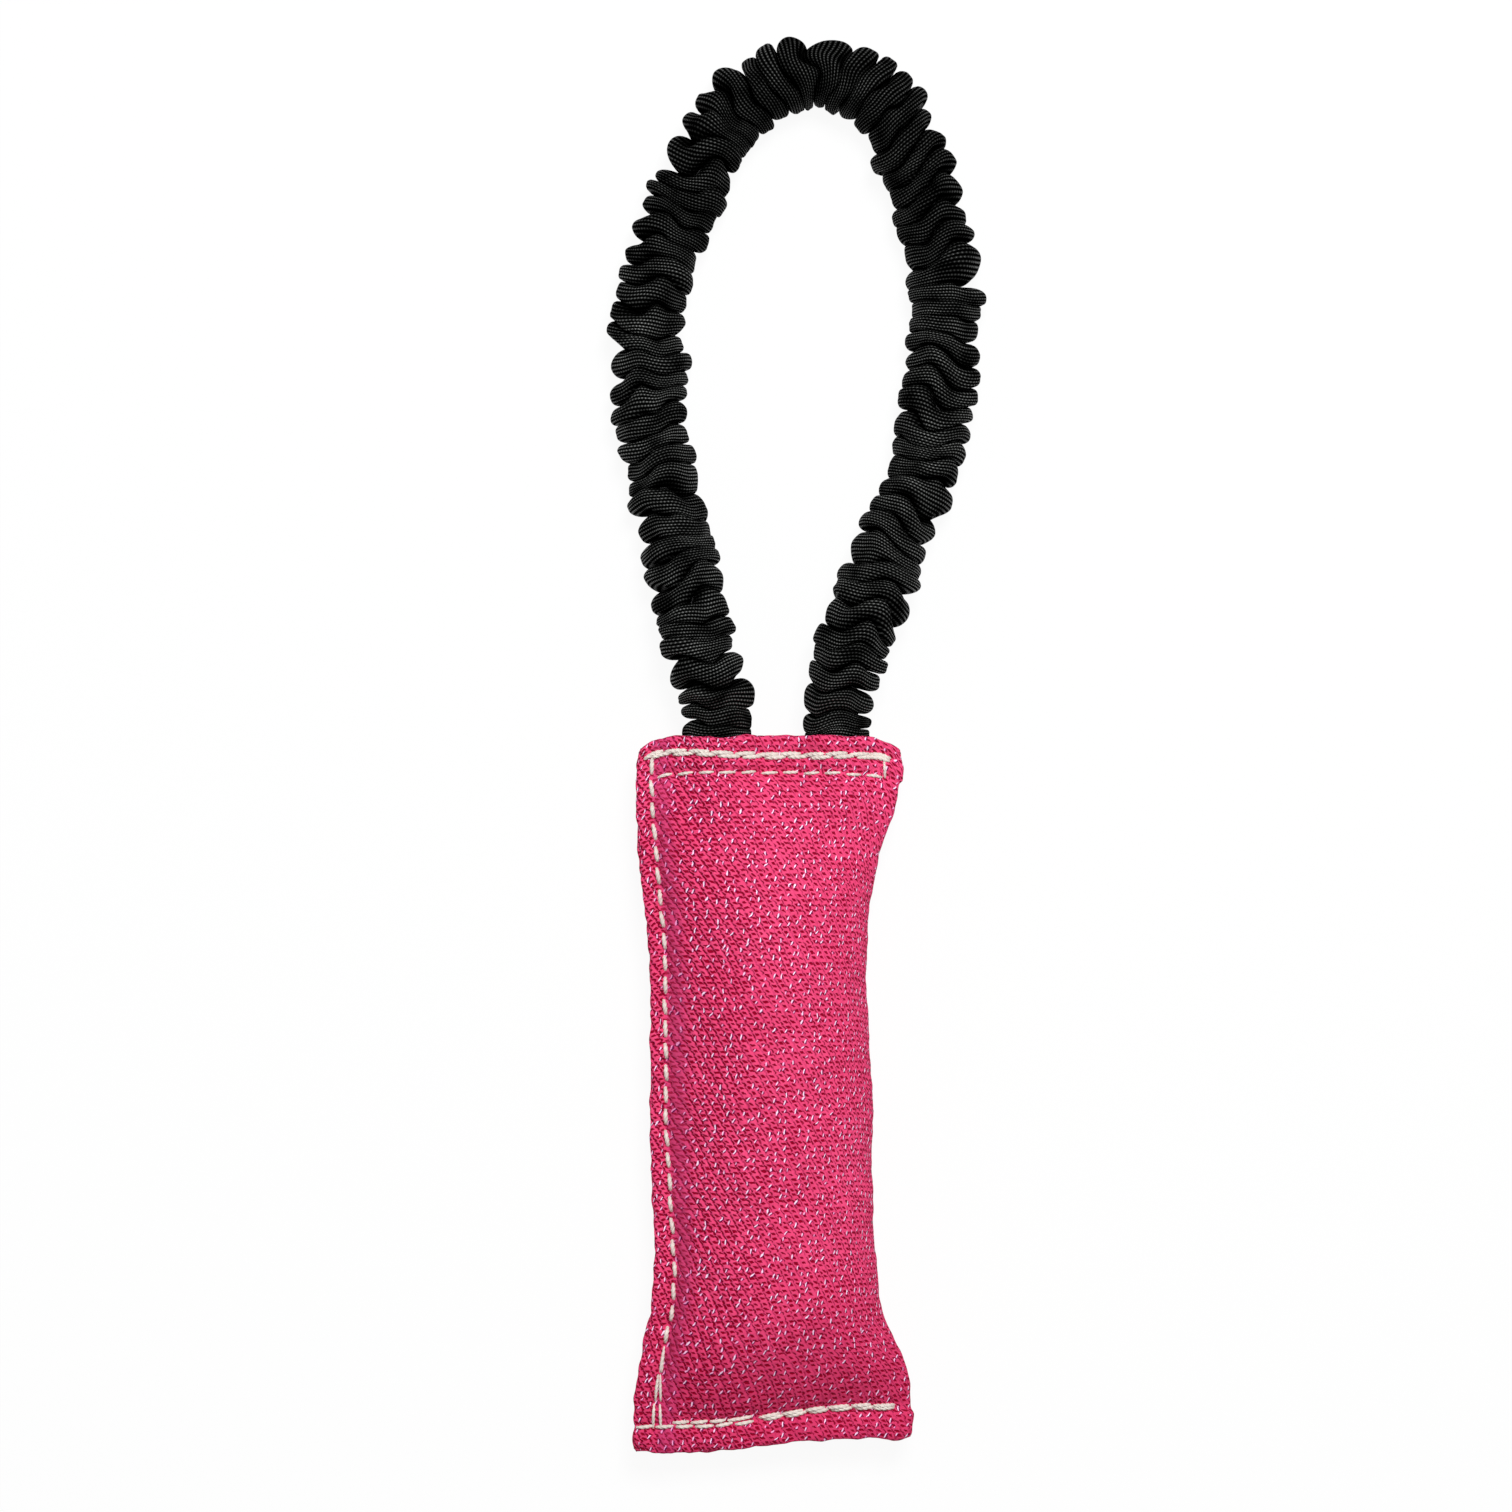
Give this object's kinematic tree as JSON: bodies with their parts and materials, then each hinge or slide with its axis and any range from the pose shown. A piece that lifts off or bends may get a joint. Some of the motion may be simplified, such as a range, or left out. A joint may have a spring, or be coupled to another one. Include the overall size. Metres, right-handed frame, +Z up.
{
  "type": "bungee tug toy",
  "caption": "Tug toy for a dog: a stuffed cloth bite pillow, sewn closed, with a stretching loop handle of webbing gathered over elastic cord.",
  "frame": {"origin": "on the flat under the pillow's belly, half way along it, where the toy rests", "axes": "+X to the right across the pillow, towards its folded side; +Y from the pillow to the bow of the handle; +Z up from the surface it lies on"},
  "size_m": [0.103, 0.394, 0.029],
  "materials": {
    "pink_cloth": "coarse twill canvas with glitter flecks",
    "black_webbing": "ribbed tubular webbing, gathered",
    "black_elastic": "elastic cord in a braided jacket",
    "white_filling": "fibre stuffing",
    "white_thread": "thick twisted sewing thread"
  },
  "bodies": {
    "pillow": {"pillow_cover": "pink_cloth", "pillow_filling": "white_filling", "left_sleeve_tail": "black_webbing", "right_sleeve_tail": "black_webbing", "left_elastic_tail": "black_elastic", "right_elastic_tail": "black_elastic", "side_seam_needle_thread": "white_thread", "side_seam_bobbin_thread": "white_thread", "top_seam_needle_thread": "white_thread", "top_seam_bobbin_thread": "white_thread", "bottom_seam_needle_thread": "white_thread", "bottom_seam_bobbin_thread": "white_thread"},
    "handle": {"left_sleeve_leg": "black_webbing", "right_sleeve_leg": "black_webbing", "left_elastic_leg": "black_elastic", "right_elastic_leg": "black_elastic"},
    "grip": {"sleeve_bow": "black_webbing", "elastic_bow": "black_elastic"}
  },
  "joints": [
    {"name": "handle_fold", "type": "hinge", "parent": "pillow", "child": "handle", "pos_m": [0, 0.10775, 0.0141], "axis": [1, 0, 0], "range_deg": [-135, 135], "deforming": ["left_sleeve_leg", "right_sleeve_leg", "left_elastic_leg", "right_elastic_leg"]},
    {"name": "bungee_stretch", "type": "slide", "parent": "handle", "child": "grip", "axis": [0, 1, 0], "range_m": [0, 0.1], "stiffness_N_per_m": 800}
  ]
}
